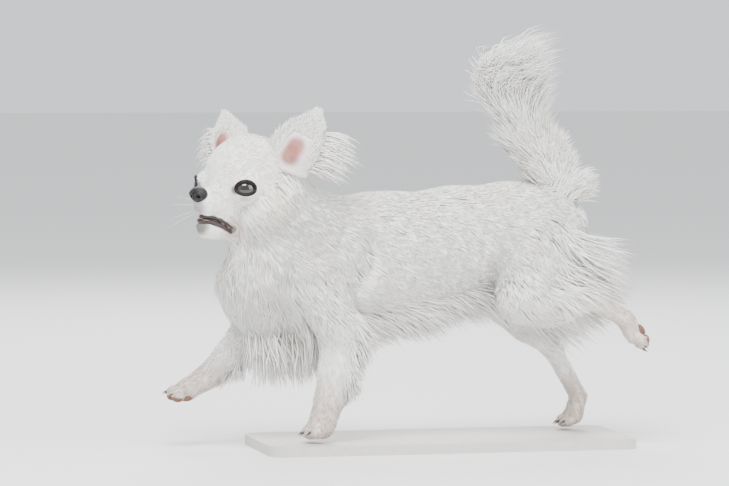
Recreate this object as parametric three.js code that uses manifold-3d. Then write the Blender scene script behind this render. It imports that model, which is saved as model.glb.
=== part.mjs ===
// A long-haired white chihuahua in a canter, life size, on a flat display base.
// Millimetres, +Z up. The dog faces -X, its left side is -Y, and the origin is the middle of the base's underside.
import * as THREE from "three";
import { mergeVertices } from "three/addons/utils/BufferGeometryUtils.js";
import Module from "manifold-3d";

const wasm = await Module();
wasm.setup();

// Driving dimensions
const BASE = { length: 300, width: 124, thick: 8, corner: 14 };
const GAP = 0.35; // air kept between two touching pieces
const BLEND = 16; // how softly two masses of flesh run together
const EYE = { radius: 9.4, forward: 24.5, side: 22, up: -9 };
const SKULL = 35; // radius of the apple-shaped head with half its coat
const HEAD_AT = [-158, -6, 208.5];
const HEAD_TURN = { yaw: 34, pitch: 6, roll: 3 }; // degrees: towards its left, nose up, left ear down
const EAR = { length: 51, width: 43, wall: 2.6, cup: 13 };
const EAR_TURN = { left: 0.5, right: 0.08 }; // the hollow faces outwards at 1 and straight forwards at 0
const LOCK_ROOT = 3.5; // how deep a lock's root lies under the surface
const EAR_FRINGE = 30;
const TURN_SHIFT = 13; // degrees that every second row of locks is turned by
const TORSO_FLATNESS = 0.8; // the trunk's width over its height

const COAT = { color: 0xf3f0ea, roughness: 0.85, metalness: 0 };
const coatMaterial = () => new THREE.MeshStandardMaterial(COAT);
const darkSkin = () => new THREE.MeshStandardMaterial({ color: 0x2b2627, roughness: 0.45, metalness: 0 });
const eyeMaterial = () => new THREE.MeshStandardMaterial({ color: 0x14111a, roughness: 0.08, metalness: 0 });
const baseMaterial = () => new THREE.MeshStandardMaterial({ color: 0xc9c4ba, roughness: 0.6, metalness: 0 });

const vec = (p) => new THREE.Vector3(...p);
const mix = (a, b, t) => a + (b - a) * t;
const clamp = (x, low, high) => Math.min(high, Math.max(low, x));

const range = (from, to, count) => Array.from({ length: count }, (_, i) => mix(from, to, count > 1 ? i / (count - 1) : 0));

// Seeded random draw, so that every build gives the same coat.
let seed = 20137;
function draw(low, high) {
  seed = (seed * 1664525 + 1013904223) % 4294967296;
  return mix(low, high, seed / 4294967296);
}

// The head's own frame: x forward along the muzzle, y to the dog's left, z up.
const headFrame = new THREE.Matrix4().makeTranslation(...HEAD_AT);
{
  const degrees = Math.PI / 180;
  const turn = new THREE.Matrix4().makeRotationZ(Math.PI + HEAD_TURN.yaw * degrees);
  turn.multiply(new THREE.Matrix4().makeRotationY(-HEAD_TURN.pitch * degrees));
  turn.multiply(new THREE.Matrix4().makeRotationX(-HEAD_TURN.roll * degrees));
  headFrame.multiply(turn);
}
const onHead = (p) => vec(p).applyMatrix4(headFrame);
const headDirection = (p) => vec(p).transformDirection(headFrame);

// A mass of flesh is a round cone from a to b, flattened along Y where flat is under 1.
function mass(a, b, ra, rb, flat = 1) {
  return { a: vec(a), b: vec(b), ra, rb, flat };
}
function headMass(a, b, ra, rb) {
  const m = mass([0, 0, 0], [0, 0, 0], ra, rb);
  m.a = onHead(a);
  m.b = onHead(b);
  return m;
}
function chain(points, flat = 1) {
  return points.slice(1).map((p, i) => mass(points[i].slice(0, 3), p.slice(0, 3), points[i][3], p[3], flat));
}

const spot = new THREE.Vector3();
const along = new THREE.Vector3();
function distanceTo(m, p) {
  spot.copy(p).sub(m.a);
  along.copy(m.b).sub(m.a);
  spot.y /= m.flat;
  along.y /= m.flat;
  const t = clamp(spot.dot(along) / Math.max(along.lengthSq(), 1e-6), 0, 1);
  return spot.addScaledVector(along, -t).length() - mix(m.ra, m.rb, t);
}
// The field is negative inside the flesh, zero on its surface, and about the distance in millimetres outside.
function fieldOf(masses, blend = BLEND) {
  return (p) =>
    masses.reduce((d, m) => {
      const e = distanceTo(m, p);
      const h = clamp(0.5 + (0.5 * (e - d)) / blend, 0, 1);
      return mix(e, d, h) - blend * h * (1 - h);
    }, 1e3);
}
function normalAt(field, p) {
  const step = 0.5;
  const at = (x, y, z) => field(new THREE.Vector3(p.x + x, p.y + y, p.z + z));
  return new THREE.Vector3(
    at(step, 0, 0) - at(-step, 0, 0),
    at(0, step, 0) - at(0, -step, 0),
    at(0, 0, step) - at(0, 0, -step),
  ).normalize();
}
// The point where a ray from inside leaves the flesh, for a surface raised by level.
function surfacePoint(field, from, direction, level = 0, reach = 110) {
  const p = new THREE.Vector3();
  const value = (s) => field(p.copy(from).addScaledVector(direction, s)) - level;
  let s = 0;
  while (value(s) < 0 && s < reach) s += 2;
  let low = Math.max(0, s - 2);
  let high = s;
  for (let i = 0; i < 12; i++) {
    const middle = (low + high) / 2;
    if (value(middle) < 0) low = middle;
    else high = middle;
  }
  return new THREE.Vector3().copy(from).addScaledVector(direction, (low + high) / 2);
}

// Closed mesh from rings of points, with a point at either end, faces outwards.
function closedRings(first, rings, last) {
  const points = [first, ...rings.flat(), last];
  const n = rings[0].length;
  const index = [];
  const id = (row, j) => 1 + row * n + (j % n);
  for (let j = 0; j < n; j++) {
    index.push(0, id(0, j + 1), id(0, j));
    for (let row = 0; row + 1 < rings.length; row++) {
      index.push(id(row, j), id(row, j + 1), id(row + 1, j + 1));
      index.push(id(row, j), id(row + 1, j + 1), id(row + 1, j));
    }
    index.push(id(rings.length - 1, j), id(rings.length - 1, j + 1), points.length - 1);
  }
  const geometry = new THREE.BufferGeometry();
  const flat = points.flatMap((p) => [p.x, p.y, p.z]);
  geometry.setAttribute("position", new THREE.Float32BufferAttribute(flat, 3));
  geometry.setIndex(index);
  return geometry;
}
function solidOf(geometry) {
  const bare = geometry.clone();
  bare.deleteAttribute("normal");
  bare.deleteAttribute("uv");
  const merged = mergeVertices(bare, 1e-4);
  const triVerts = new Uint32Array(merged.index.array);
  const build = () =>
    new wasm.Manifold(
      new wasm.Mesh({ numProp: 3, vertProperties: new Float32Array(merged.attributes.position.array), triVerts }),
    );
  const made = build();
  if (made.volume() > 0) return made;
  for (let i = 0; i < triVerts.length; i += 3) {
    [triVerts[i + 1], triVerts[i + 2]] = [triVerts[i + 2], triVerts[i + 1]];
  }
  return build();
}
function largest(solid) {
  return solid.decompose().reduce((best, s) => (s.volume() > best.volume() ? s : best));
}
function namedMesh(name, solid, material) {
  const kept = largest(solid).getMesh();
  const geometry = new THREE.BufferGeometry();
  geometry.setAttribute("position", new THREE.BufferAttribute(new Float32Array(kept.vertProperties), 3));
  geometry.setIndex(new THREE.BufferAttribute(new Uint32Array(kept.triVerts), 1));
  geometry.computeVertexNormals();
  const mesh = new THREE.Mesh(geometry, material);
  mesh.name = name;
  return mesh;
}
// A box that removes all that lies past a plane, on its normal's side.
function beyond(point, normal) {
  const side = 500;
  const box = new THREE.BoxGeometry(side, side, side);
  const turn = new THREE.Quaternion().setFromUnitVectors(new THREE.Vector3(0, 0, 1), normal.clone().normalize());
  const centre = point.clone().addScaledVector(normal.clone().normalize(), side / 2);
  box.applyMatrix4(new THREE.Matrix4().compose(centre, turn, new THREE.Vector3(1, 1, 1)));
  return solidOf(box);
}

// Skin over the field: rings of points around a curved axis, closed by a point at either end.
function wrap(field, axisPoints, rows, sides, level = 0, reach = 110) {
  const axis = new THREE.CatmullRomCurve3(axisPoints.map(vec));
  const start = axis.getPointAt(0);
  const end = axis.getPointAt(1);
  const back = axis.getTangentAt(0).negate();
  const ahead = axis.getTangentAt(1);
  const rings = [];
  const ring = (centre, tangent, lean) => {
    const across = new THREE.Vector3(0, 1, 0).cross(tangent).normalize();
    const side = tangent.clone().cross(across).normalize();
    const points = [];
    for (let j = 0; j < sides; j++) {
      const turn = (2 * Math.PI * j) / sides;
      const direction = across.clone().multiplyScalar(Math.cos(turn)).addScaledVector(side, Math.sin(turn));
      direction.multiplyScalar(Math.cos(lean)).addScaledVector(tangent, Math.sin(lean));
      points.push(surfacePoint(field, centre, direction, level, reach));
    }
    rings.push(points);
  };
  const capLeans = [1.1, 0.7, 0.3];
  capLeans.forEach((lean) => ring(start, axis.getTangentAt(0), -lean));
  for (let i = 0; i <= rows; i++) ring(axis.getPointAt(i / rows), axis.getTangentAt(i / rows), 0);
  capLeans.reverse().forEach((lean) => ring(end, axis.getTangentAt(1), lean));
  return solidOf(
    closedRings(surfacePoint(field, start, back, level, reach), rings, surfacePoint(field, end, ahead, level, reach)),
  );
}

// Flesh, with about half the coat's depth

const trunkMasses = [
  ...chain(
    [[-144, 0, 124, 34], [-96, 0, 138, 47], [-46, 0, 147, 48], [12, 0, 156, 43], [62, 0, 161, 42], [92, 0, 168, 32]],
    TORSO_FLATNESS,
  ),
  mass([-86, -14, 166], [-60, -14, 170], 18, 18),
  mass([-86, 14, 166], [-60, 14, 170], 18, 18),
];
const neckMasses = [mass([-104, 0, 156], [-142, -4, 190], 40, 31), mass([-132, -3, 140], [-150, -6, 172], 32, 25)];
const headMasses = [
  headMass([0, 0, 2], [-5, 0, 2], SKULL, SKULL - 1),
  headMass([17, 0, 2], [20, 0, -4], 21, 18),
  headMass([18, 0, -21], [42, 0, -20], 17, 11.5),
  headMass([14, 0, -38], [35, 0, -43], 14, 9),
  headMass([2, 17, -22], [-12, 21, -24], 19, 19),
  headMass([2, -17, -22], [-12, -21, -24], 19, 19),
];
const legs = {
  front_left_leg: [
    [-86, -26, 148, 22], [-110, -32, 126, 22], [-90, -36, 88, 18.5], [-93, -35, 58, 15], [-98, -33, 34, 12.3],
    [-104, -32, 14, 11.5],
  ],
  front_right_leg: [
    [-96, 26, 148, 22], [-136, 31, 124, 21], [-146, 36, 92, 15.5], [-166, 36, 66, 12], [-185, 36, 47, 9.8],
    [-200, 36, 38, 9.5],
  ],
  hind_left_leg: [
    [74, -18, 154, 29], [62, -32, 112, 22], [84, -37, 104, 16], [118, -36, 110, 9.4], [145, -36, 94, 7.4],
    [152, -36, 82, 8.2],
  ],
  hind_right_leg: [
    [84, 18, 152, 29], [68, 32, 104, 20], [84, 36, 84, 14], [105, 36, 65, 9], [126, 33, 26, 7.2], [121, 31, 12, 8.6],
  ],
};
const toes = {
  front_left_leg: { reach: [-1, 0, -0.12], across: [0, 1, 0], sole: [0, 0, -1], length: 10, radius: 5.6 },
  front_right_leg: { reach: [-0.95, 0, 0.12], across: [0.1, 1, 0.1], sole: [-0.35, -0.35, -0.87], length: 10, radius: 5.2 },
  hind_left_leg: { reach: [0.35, 0, -0.94], across: [0, 1, 0], sole: [0.94, 0, 0.3], length: 9, radius: 4.6 },
  hind_right_leg: { reach: [-1, 0, -0.15], across: [0, 1, 0], sole: [0, 0, -1], length: 9, radius: 4.8 },
};
// Where each paw is parted from its leg, and the way down to the toes.
const ankles = {
  front_left_leg: { at: [-98, -33, 33], down: [-0.1, 0, -1] },
  front_right_leg: { at: [-180, 36, 52], down: [-0.7, 0, -0.7] },
  hind_left_leg: { at: [128, -36, 105], down: [0.75, 0, -0.65] },
  hind_right_leg: { at: [112, 35, 52], down: [0.5, 0, -0.85] },
};
const tailPoints = [
  [90, 0, 176, 20], [99, 0, 198, 17], [88, 0, 217, 14.5], [75, 0, 234, 13], [67, 0, 250, 12], [60, 0, 266, 10.5],
  [54, 0, 280, 8], [50, 0, 290, 6],
];

const bodyField = fieldOf([...trunkMasses, ...neckMasses, ...headMasses]);
const tailField = fieldOf(chain(tailPoints), 6);
const legFields = Object.fromEntries(Object.entries(legs).map(([name, points]) => [name, fieldOf(chain(points), 7)]));

// Cuts between head, neck and trunk
const headCut = { at: onHead([-20, 0, -20]), normal: headDirection([-0.72, 0, -0.69]) };
const neckCut = { at: vec([-122, 0, 168]), normal: vec([0.6, 0, -0.8]).normalize() };

const trunkAxis = [[-142, 0, 128], [-96, 0, 138], [-46, 0, 147], [12, 0, 156], [62, 0, 160], [92, 0, 166]];
const trunkRows = 12;
const trunkSides = 18;
const trunkWhole = (level) => wrap(bodyFieldBehind, trunkAxis, trunkRows, trunkSides, level);
const bodyFieldBehind = fieldOf([...trunkMasses, ...neckMasses]);
const trunk = trunkWhole(0);
const trunkGrown = trunkWhole(GAP + 0.2);
const neckAxis = [[-100, 0, 150], [-126, -1, 168], [-154, -5, 192]];
const neckWhole = (level) => wrap(bodyField, neckAxis, 7, 18, level);
const neckGrown = neckWhole(GAP + 0.2);

// A lock of long hair: flat, tapered, rooted under the surface and bent along the lie of the coat.
// free runs from 0, pressed to the surface, to 1, hanging clear of it; curl bends the tip along a direction.
// A lock that other pieces would fold sharply is left out.
function lock({ field, root, lie, length, width, thick = 3.2, rise = 3, free = 0, curl, sunk = LOCK_ROOT, roll = 0, others = [] }) {
  const steps = 8;
  const p = root.clone();
  const direction = lie.clone().normalize();
  const path = [];
  for (let i = 0; i <= steps; i++) {
    const t = i / steps;
    const normal = normalAt(field, p);
    const height = i === 0 ? -sunk : mix(0.4, rise, Math.sqrt(t));
    const hold = i === 0 ? 1 : (1 - free) ** 3;
    p.addScaledVector(normal, (height - field(p)) * hold);
    if (i > 0) {
      others.forEach((other) => {
        const lacking = thick * 0.5 + 1.2 - other(p);
        if (lacking > 0) p.addScaledVector(normalAt(other, p), lacking);
      });
    }
    path.push({ p: p.clone(), normal });
    const heading = direction.clone();
    if (curl) heading.addScaledVector(curl, t * t);
    heading.addScaledVector(normal, -heading.dot(normal) * (1 - free));
    p.addScaledVector(heading.normalize(), length / steps);
  }
  const shape = [
    [1, 0.8, 1],
    [3, 1, 1],
    [6, 0.62, 0.7],
  ];
  const heading = (from, to) => path[to].p.clone().sub(path[from].p).normalize();
  const folded = path.some((_, i) => i > 1 && heading(i - 2, i - 1).dot(heading(i - 1, i)) < 0.6);
  if (folded) return [];
  const around = (swell) => {
    const side = heading(0, 1).cross(path[0].normal).normalize().applyAxisAngle(heading(0, 1), roll);
    const rings = shape.map(([i, w, h]) => {
      const centre = path[i].p;
      const ahead = heading(i - 1, i + 1);
      side.addScaledVector(ahead, -side.dot(ahead)).normalize();
      const up = side.clone().cross(ahead).normalize();
      const halfWidth = (width / 2) * w + swell * 2;
      const under = centre.clone().addScaledVector(up, -0.25 * thick * h - swell);
      return [
        under.clone().addScaledVector(side, halfWidth),
        centre.clone().addScaledVector(up, 0.6 * thick * h + swell * 1.5),
        under.clone().addScaledVector(side, -halfWidth),
      ];
    });
    const past = (from, to) => to.clone().addScaledVector(to.clone().sub(from).normalize(), swell * 4);
    return solidOf(closedRings(past(path[1].p, path[0].p), rings, past(path[steps - 1].p, path[steps].p)));
  };
  return [{ hair: around(0), grown: around(GAP * 1.2) }];
}
// A lock that would cross another piece, or another piece's lock, is made shorter, and left out if that fails.
const laid = [];
function touching(a, b) {
  const one = a.boundingBox();
  const two = b.boundingBox();
  return [0, 1, 2].every((k) => one.min[k] < two.max[k] && two.min[k] < one.max[k]);
}
const crosses = (a, b) => touching(a, b) && !a.intersect(b).isEmpty();
function fitted(name, shape) {
  for (const share of [1, 0.8, 0.62, 0.45]) {
    const [one] = lock({ ...shape, length: shape.length * share });
    if (!one) continue;
    const flesh = Object.entries(grownFlesh).some(([other, grown]) => other !== name && crosses(one.hair, grown));
    if (flesh || laid.some((other) => other.name !== name && crosses(one.hair, other.grown))) continue;
    laid.push({ name, grown: one.grown });
    return [one.hair];
  }
  return [];
}
// Rows of locks over a field, rooted where rays from an axis leave it; a missing turn leaves that spot bare.
function locksOver({ name, field, axis, places, turns, lie, length, width, spread = 0.14, twist = 0.25, lean = 0, ...more }) {
  const curve = new THREE.CatmullRomCurve3(axis.map(vec));
  const made = [];
  places.forEach((t, place) => {
    const centre = curve.getPointAt(t);
    const tangent = curve.getTangentAt(t);
    const across = new THREE.Vector3(0, 1, 0).cross(tangent).normalize();
    const side = tangent.clone().cross(across).normalize();
    turns.forEach((degrees) => {
      const turn = ((degrees + (place % 2) * TURN_SHIFT + draw(-4, 4)) * Math.PI) / 180;
      const outward = across.clone().multiplyScalar(-Math.cos(turn)).addScaledVector(side, Math.sin(turn));
      outward.multiplyScalar(Math.cos(lean)).addScaledVector(tangent, Math.sin(lean));
      const root = surfacePoint(field, centre, outward.clone().addScaledVector(tangent, draw(-0.1, 0.1)));
      const way = lie(t, turn, outward, tangent).normalize();
      way.add(new THREE.Vector3(draw(-1, 1), draw(-1, 1), draw(-1, 1)).multiplyScalar(spread));
      const long = (typeof length === "function" ? length(t, turn) : length) * draw(0.82, 1.18);
      const wide = width * draw(0.85, 1.15);
      const roll = (twist * draw(0.5, 1.2)) * (draw(-1, 1) < 0 ? -1 : 1);
      made.push(...fitted(name, { field, root, lie: way, length: long, width: wide, roll, ...more }));
    });
  });
  return made;
}

// The dog's pieces

const pieces = {};
const noseAt = onHead([51.5, 0, -12]);

function placed(geometry, at, scale = [1, 1, 1]) {
  const matrix = headFrame.clone().setPosition(at);
  geometry.scale(...scale);
  geometry.applyMatrix4(matrix);
  return geometry;
}
function eyeSolid(side, radius) {
  const at = onHead([EYE.forward, side * EYE.side, EYE.up]);
  return solidOf(placed(new THREE.SphereGeometry(radius, 12, 8), at));
}
function noseSolid(grow) {
  const ball = new THREE.SphereGeometry(1, 12, 8);
  return solidOf(placed(ball, noseAt, [6.4 + grow, 8.2 + grow, 6.2 + grow]));
}
function nostril(side) {
  const ball = new THREE.SphereGeometry(1, 8, 6);
  return solidOf(placed(ball, onHead([57, side * 3.9, -13]), [3, 1.7, 1.9]));
}
// A tube through points of the head's frame, thin at both ends.
function headTube(points, radius, sides = 6, rows = 9) {
  const curve = new THREE.CatmullRomCurve3(points.map(onHead));
  const frames = curve.computeFrenetFrames(rows, false);
  const rings = [];
  for (let i = 1; i < rows; i++) {
    const centre = curve.getPointAt(i / rows);
    const r = radius * (0.45 + 0.55 * Math.sin((Math.PI * i) / rows));
    rings.push(
      Array.from({ length: sides }, (_, j) => {
        const turn = (2 * Math.PI * j) / sides;
        return centre
          .clone()
          .addScaledVector(frames.normals[i], r * Math.cos(turn))
          .addScaledVector(frames.binormals[i], r * Math.sin(turn));
      }),
    );
  }
  return solidOf(closedRings(curve.getPointAt(0), rings, curve.getPointAt(1)));
}
// Points on a circle about the eye: the rim of a lid, from the inner corner to the outer one.
function lidArc(side, opening) {
  const radius = EYE.radius + GAP + 0.9;
  const gaze = vec([0.62, side * 0.78, 0.06]).normalize();
  const corner = vec([0.78, -side * 0.62, -0.1]).normalize();
  const upward = gaze.clone().cross(corner).multiplyScalar(-side).normalize();
  return [-1, -0.6, -0.2, 0.2, 0.6, 1].map((s) => {
    const across = s * 1.02;
    const rise = opening * Math.sqrt(Math.max(0, 1 - s * s));
    const direction = gaze.clone().multiplyScalar(Math.cos(across) * Math.cos(rise));
    direction.addScaledVector(corner, -Math.sin(across) * Math.cos(rise));
    direction.addScaledVector(upward, Math.sin(rise)).normalize().multiplyScalar(radius);
    return [EYE.forward + direction.x, side * EYE.side + direction.y, EYE.up + direction.z];
  });
}
function headWhole(level) {
  const tip = onHead([34, 0, -28]).toArray();
  const back = onHead([-10, 0, -2]).toArray();
  const middle = onHead([10, 0, -16]).toArray();
  return wrap(bodyField, [back, middle, tip], 10, 20, level);
}

const mouthLine = [[50, 0, -35], [46, 8, -35.5], [39, 12, -37], [31, 15, -39.5], [23, 19, -42]];
const mirrored = (points) => points.map(([x, y, z]) => [x, -y, z]);
const throughFront = [...mirrored(mouthLine).reverse(), ...mouthLine.slice(1)];
const outward = (points, grow) => points.map(([x, y, z]) => [x + grow * 0.6, y * (1 + grow * 0.05), z]);
const raised = (points, up) => points.map(([x, y, z]) => [x, y, z + up]);

function headSolid() {
  let solid = headWhole(0);
  const lips = [
    headTube(raised(outward(throughFront, 0.2), 2.6), 2.3, 5, 12),
    headTube(raised(outward(throughFront, -0.8), -2.8), 2.2, 5, 12),
  ];
  const lids = [1, -1].flatMap((side) => [headTube(lidArc(side, 0.62), 1.5, 5, 7), headTube(lidArc(side, -0.5), 1.3, 5, 7)]);
  solid = wasm.Manifold.union([solid, ...lips, ...lids]);
  const slot = headTube(raised(outward(throughFront, 0.4), -0.1), 1.5, 5, 12);
  const cuts = [slot, noseSolid(GAP), eyeSolid(1, EYE.radius + GAP), eyeSolid(-1, EYE.radius + GAP)];
  cuts.push(beyond(headCut.at, headCut.normal));
  return cuts.reduce((s, cut) => s.subtract(cut), solid);
}

// One ear is a cupped leaf: each ring runs round its back and returns along its hollow front.
function earBlade(side) {
  const base = vec([-11, side * 29, 15]);
  const axis = vec([-8, side * 21, 49]).normalize();
  const turned = side > 0 ? EAR_TURN.left : EAR_TURN.right;
  const across = vec([turned, -side * Math.sqrt(1 - turned * turned), 0.3]).normalize();
  const outside = across.clone().cross(axis).multiplyScalar(side).normalize();
  const breadth = new THREE.SplineCurve([[0, 0.8], [0.17, 0.98], [0.34, 1], [0.55, 0.86], [0.78, 0.6], [1, 0.2]].map((q) => new THREE.Vector2(...q)));
  const at = (t, s, depth, swell = 0) => {
    const w = breadth.getPoint(t).y;
    const cup = EAR.cup * w * (1 - 0.45 * t);
    return base
      .clone()
      .addScaledVector(axis, EAR.length * t)
      .addScaledVector(across, ((EAR.width / 2) * w + swell) * s)
      .addScaledVector(outside, -cup * (1 - s * s) + depth)
      .applyMatrix4(headFrame);
  };
  return { at, outside, axis };
}
function earSolid(side, swell = 0) {
  const { at } = earBlade(side);
  const arc = [-1, -0.66, -0.3, 0.1, 0.5, 0.8, 1];
  const half = EAR.wall / 2 + swell;
  const rings = range(0.02, 0.88, 6).map((t) => [
    ...arc.map((s) => at(t, s, -half, swell)),
    ...arc.slice().reverse().map((s) => at(t, s * 0.94, half, swell)),
  ]);
  return solidOf(closedRings(at(0, 0, 0), rings, at(1, 0, 0)));
}

function legSolid(name, swell = 0) {
  const points = legs[name];
  const centre = points.map((p) => p.slice(0, 3));
  let solid = wrap(legFields[name], centre, 11, 9, swell * 1.5);
  const foot = toes[name];
  const reach = vec(foot.reach).normalize();
  const across = vec(foot.across).normalize();
  const sole = vec(foot.sole).normalize();
  const root = vec(centre[centre.length - 1]);
  const made = [solid];
  [-1.5, -0.5, 0.5, 1.5].forEach((place) => {
    const shorter = Math.abs(place) > 1 ? 0.62 : 1;
    const ball = new THREE.SphereGeometry(foot.radius + swell, 7, 4);
    const at = root.clone().addScaledVector(reach, foot.length * shorter);
    at.addScaledVector(across, place * foot.radius * 1.15).addScaledVector(sole, foot.radius * 0.75);
    ball.translate(at.x, at.y, at.z);
    made.push(solidOf(ball));
  });
  solid = wasm.Manifold.union(made).subtract(trunkGrown).subtract(neckGrown);
  const side = Math.sign(points[0][1]);
  solid = solid.subtract(beyond(vec([0, side * GAP * 0.5, 0]), vec([0, -side, 0])));
  return solid.subtract(beyond(vec([0, 0, 0]), vec([0, 0, -1])));
}

// The coat's locks

const tailAxis = tailPoints.map((q) => q.slice(0, 3));
const legAxis = (name) => legs[name].map((q) => q.slice(0, 3));
const legCores = Object.values(legFields);
const otherLegs = (name) => Object.keys(legs).filter((one) => one !== name).map((one) => legFields[one]);
const headAxis = [onHead([24, 0, -26]), onHead([-16, 0, -20])].map((q) => q.toArray());

// Turns are counted in degrees: 0 is up on the trunk and head, forwards on the tail and neck, and back on a leg.
const coats = {
  torso: [
    {
      // back and flanks: hair lies backwards and runs down over the sides
      places: range(0.2, 0.92, 6), turns: range(-118, 118, 6), length: 50, width: 24, others: [...legCores, tailField],
      lie: (t, turn) => vec([1, 0, -0.1 - 0.4 * Math.abs(Math.sin(turn))]), spread: 0.1,
    },
    {
      // fringe of the belly, swept back
      places: range(0.24, 0.8, 6), turns: [155, 180, 205], length: (t) => mix(52, 34, t), width: 20, free: 0.8,
      lie: () => vec([0.75, 0, -0.65]), others: legCores,
    },
    {
      // hair of the chest, hanging between the forelegs
      places: [0.06, 0.2], turns: [125, 165, 195, 235], length: 46, width: 20, free: 0.6,
      lie: (t) => vec([0.3 + t, 0, -1]), others: legCores,
    },
    {
      // breast, below the throat
      places: [0], turns: range(-100, 100, 4), length: 46, width: 21, lean: -0.55, rise: 6, others: legCores,
      lie: () => vec([0.12, 0, -1]),
    },
    {
      places: [0], turns: range(-120, 120, 3), length: 42, width: 20, lean: -1.1, rise: 6, others: legCores,
      lie: () => vec([0.15, 0, -1]),
    },
    {
      // rump, below the tail
      places: [1], turns: [-130, -80, 80, 130], length: 34, width: 17, lean: 0.5, others: [...legCores, tailField],
      lie: () => vec([0.4, 0, -1]),
    },
  ],
  neck: [
    {
      // the ruff, from behind the ears and under the jaw down to the shoulders
      places: [0.48, 0.64], turns: range(-180, 135, 8), length: 42, width: 19, rise: 7,
      lie: (t, turn, outward) => vec([0.55, 0, -0.85]).addScaledVector(outward, 0.2),
    },
  ],
  head: [
    {
      // cheeks, swept back below the ears
      places: [0.5, 0.9], turns: [...range(-150, -65, 4), ...range(65, 150, 4)], length: 30, width: 15, rise: 5,
      free: 0.3, lie: (t, turn, outward, tangent) => tangent.clone().add(vec([0, 0, -0.7])),
    },
  ],
  tail: [
    {
      places: range(0.08, 0.5, 4), turns: range(-180, 108, 5), length: (t, turn) => 36 - 6 * Math.cos(turn), width: 17,
      free: 0.75, twist: 0.7, curl: vec([0, 0, -0.3]),
      lie: (t, turn, outward, tangent) => tangent.clone().addScaledVector(outward, 0.55 - 0.3 * Math.cos(turn)),
    },
    {
      // the fan of the plume, curling over backwards at its tips
      places: range(0.58, 1, 4), turns: range(-180, 120, 6), length: (t) => mix(44, 52, t), width: 17, free: 0.95,
      twist: 0.9, curl: vec([0.75, 0, -0.3]),
      lie: (t, turn, outward, tangent) => tangent.clone().addScaledVector(outward, mix(0.5, 0.8, t)),
    },
  ],
  ...Object.fromEntries(
    ["hind_left_leg", "hind_right_leg"].map((name) => [
      name,
      [
        {
          // breeches, streaming back from the thigh to one tip
          places: range(0.02, 0.36, 4), turns: [-50, 50], length: 52, width: 22, free: 0.8, spread: 0.06,
          lie: (t) => vec([1, 0, mix(-0.5, 0.1, t / 0.36)]), others: [bodyFieldBehind, tailField, ...otherLegs(name)],
        },
        {
          // outer side of the thigh
          places: [0.2], turns: name === "hind_left_leg" ? [-140, -90] : [90, 140], length: 39, width: 22,
          lie: () => vec([0.7, 0, -0.8]), others: [bodyFieldBehind],
        },
      ],
    ]),
  ),
  ...Object.fromEntries(
    ["front_left_leg", "front_right_leg"].map((name) => [
      name,
      [
        {
          // feathering behind the forearm
          places: range(0.42, 0.78, 4), turns: [-35, 35], length: (t) => mix(28, 14, t), width: 12, free: 0.7,
          lie: (t, turn, outward, tangent) => tangent.clone().addScaledVector(outward, 0.5), others: otherLegs(name),
        },
        {
          // shoulder and upper arm
          places: [0.2], turns: name === "front_left_leg" ? [-130, -85, -40] : [40, 85, 130], length: 42, width: 20,
          lie: () => vec([0.5, 0, -0.9]), others: [bodyFieldBehind],
        },
      ],
    ]),
  ),
};
// Feathering of an ear, from its outer edge.
function earLocks(side) {
  const blade = earBlade(side);
  return range(0.06, 0.66, 7).flatMap((t) => {
    const edge = blade.at(t, -0.72, 0);
    const outside = blade.outside.clone().transformDirection(headFrame);
    const field = (q) => q.clone().sub(edge).dot(outside);
    const lie = headDirection([-0.75, side * 0.5, mix(-0.35, 0.5, t)]);
    const length = EAR_FRINGE * draw(0.8, 1.15);
    const name = side > 0 ? "ear_left" : "ear_right";
    return fitted(name, { field, root: edge, lie, length, width: 8, thick: 2.2, free: 1, sunk: 0, curl: vec([0, 0, -0.8]) });
  });
}

// Assembly

const dog = new THREE.Group();
dog.position.z = BASE.thick + GAP;

const cutTrunk = trunk.subtract(beyond(neckCut.at, neckCut.normal.clone().negate()));
const neckAt = neckCut.at.clone().addScaledVector(neckCut.normal, -GAP);
const headAt = headCut.at.clone().addScaledVector(headCut.normal, GAP);
const neckSolid = neckWhole(0).subtract(beyond(neckAt, neckCut.normal)).subtract(beyond(headAt, headCut.normal.clone().negate()));

pieces.torso = [cutTrunk, coatMaterial()];
pieces.neck = [neckSolid, coatMaterial()];
const grownFlesh = {
  torso: trunkGrown.subtract(beyond(neckAt, neckCut.normal.clone().negate())),
  neck: neckGrown.subtract(beyond(neckCut.at, neckCut.normal)).subtract(beyond(headCut.at, headCut.normal.clone().negate())),
};
const fields = { torso: bodyFieldBehind, neck: bodyField, head: bodyField, tail: tailField, ...legFields };
const axes = { torso: trunkAxis, neck: neckAxis, head: headAxis, tail: tailAxis };
Object.keys(legs).forEach((name) => (axes[name] = legAxis(name)));
pieces.head = [headSolid(), coatMaterial()];
pieces.nose = [noseSolid(0).subtract(nostril(1)).subtract(nostril(-1)), darkSkin()];
pieces.eye_left = [eyeSolid(1, EYE.radius), eyeMaterial()];
pieces.eye_right = [eyeSolid(-1, EYE.radius), eyeMaterial()];
const headGrown = headWhole(GAP + 0.2);
pieces.ear_left = [earSolid(1).subtract(headGrown), coatMaterial()];
pieces.ear_right = [earSolid(-1).subtract(headGrown), coatMaterial()];
pieces.tail = [wrap(tailField, tailAxis, 10, 10).subtract(trunkGrown), coatMaterial()];
Object.keys(legs).forEach((name) => {
  const { at, down } = ankles[name];
  const lower = name.replace("leg", "paw");
  const whole = legSolid(name);
  const away = vec(down).normalize();
  const half = away.clone().multiplyScalar(GAP / 2);
  pieces[name] = [whole.subtract(beyond(vec(at).sub(half), away)), coatMaterial()];
  pieces[lower] = [whole.subtract(beyond(vec(at).add(half), away.clone().negate())), coatMaterial()];
  const grown = legSolid(name, GAP);
  grownFlesh[name] = grown.subtract(beyond(vec(at), away));
  grownFlesh[lower] = grown.subtract(beyond(vec(at).sub(half), away.clone().negate()));
});
grownFlesh.head = headGrown.subtract(beyond(headCut.at, headCut.normal));
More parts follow.
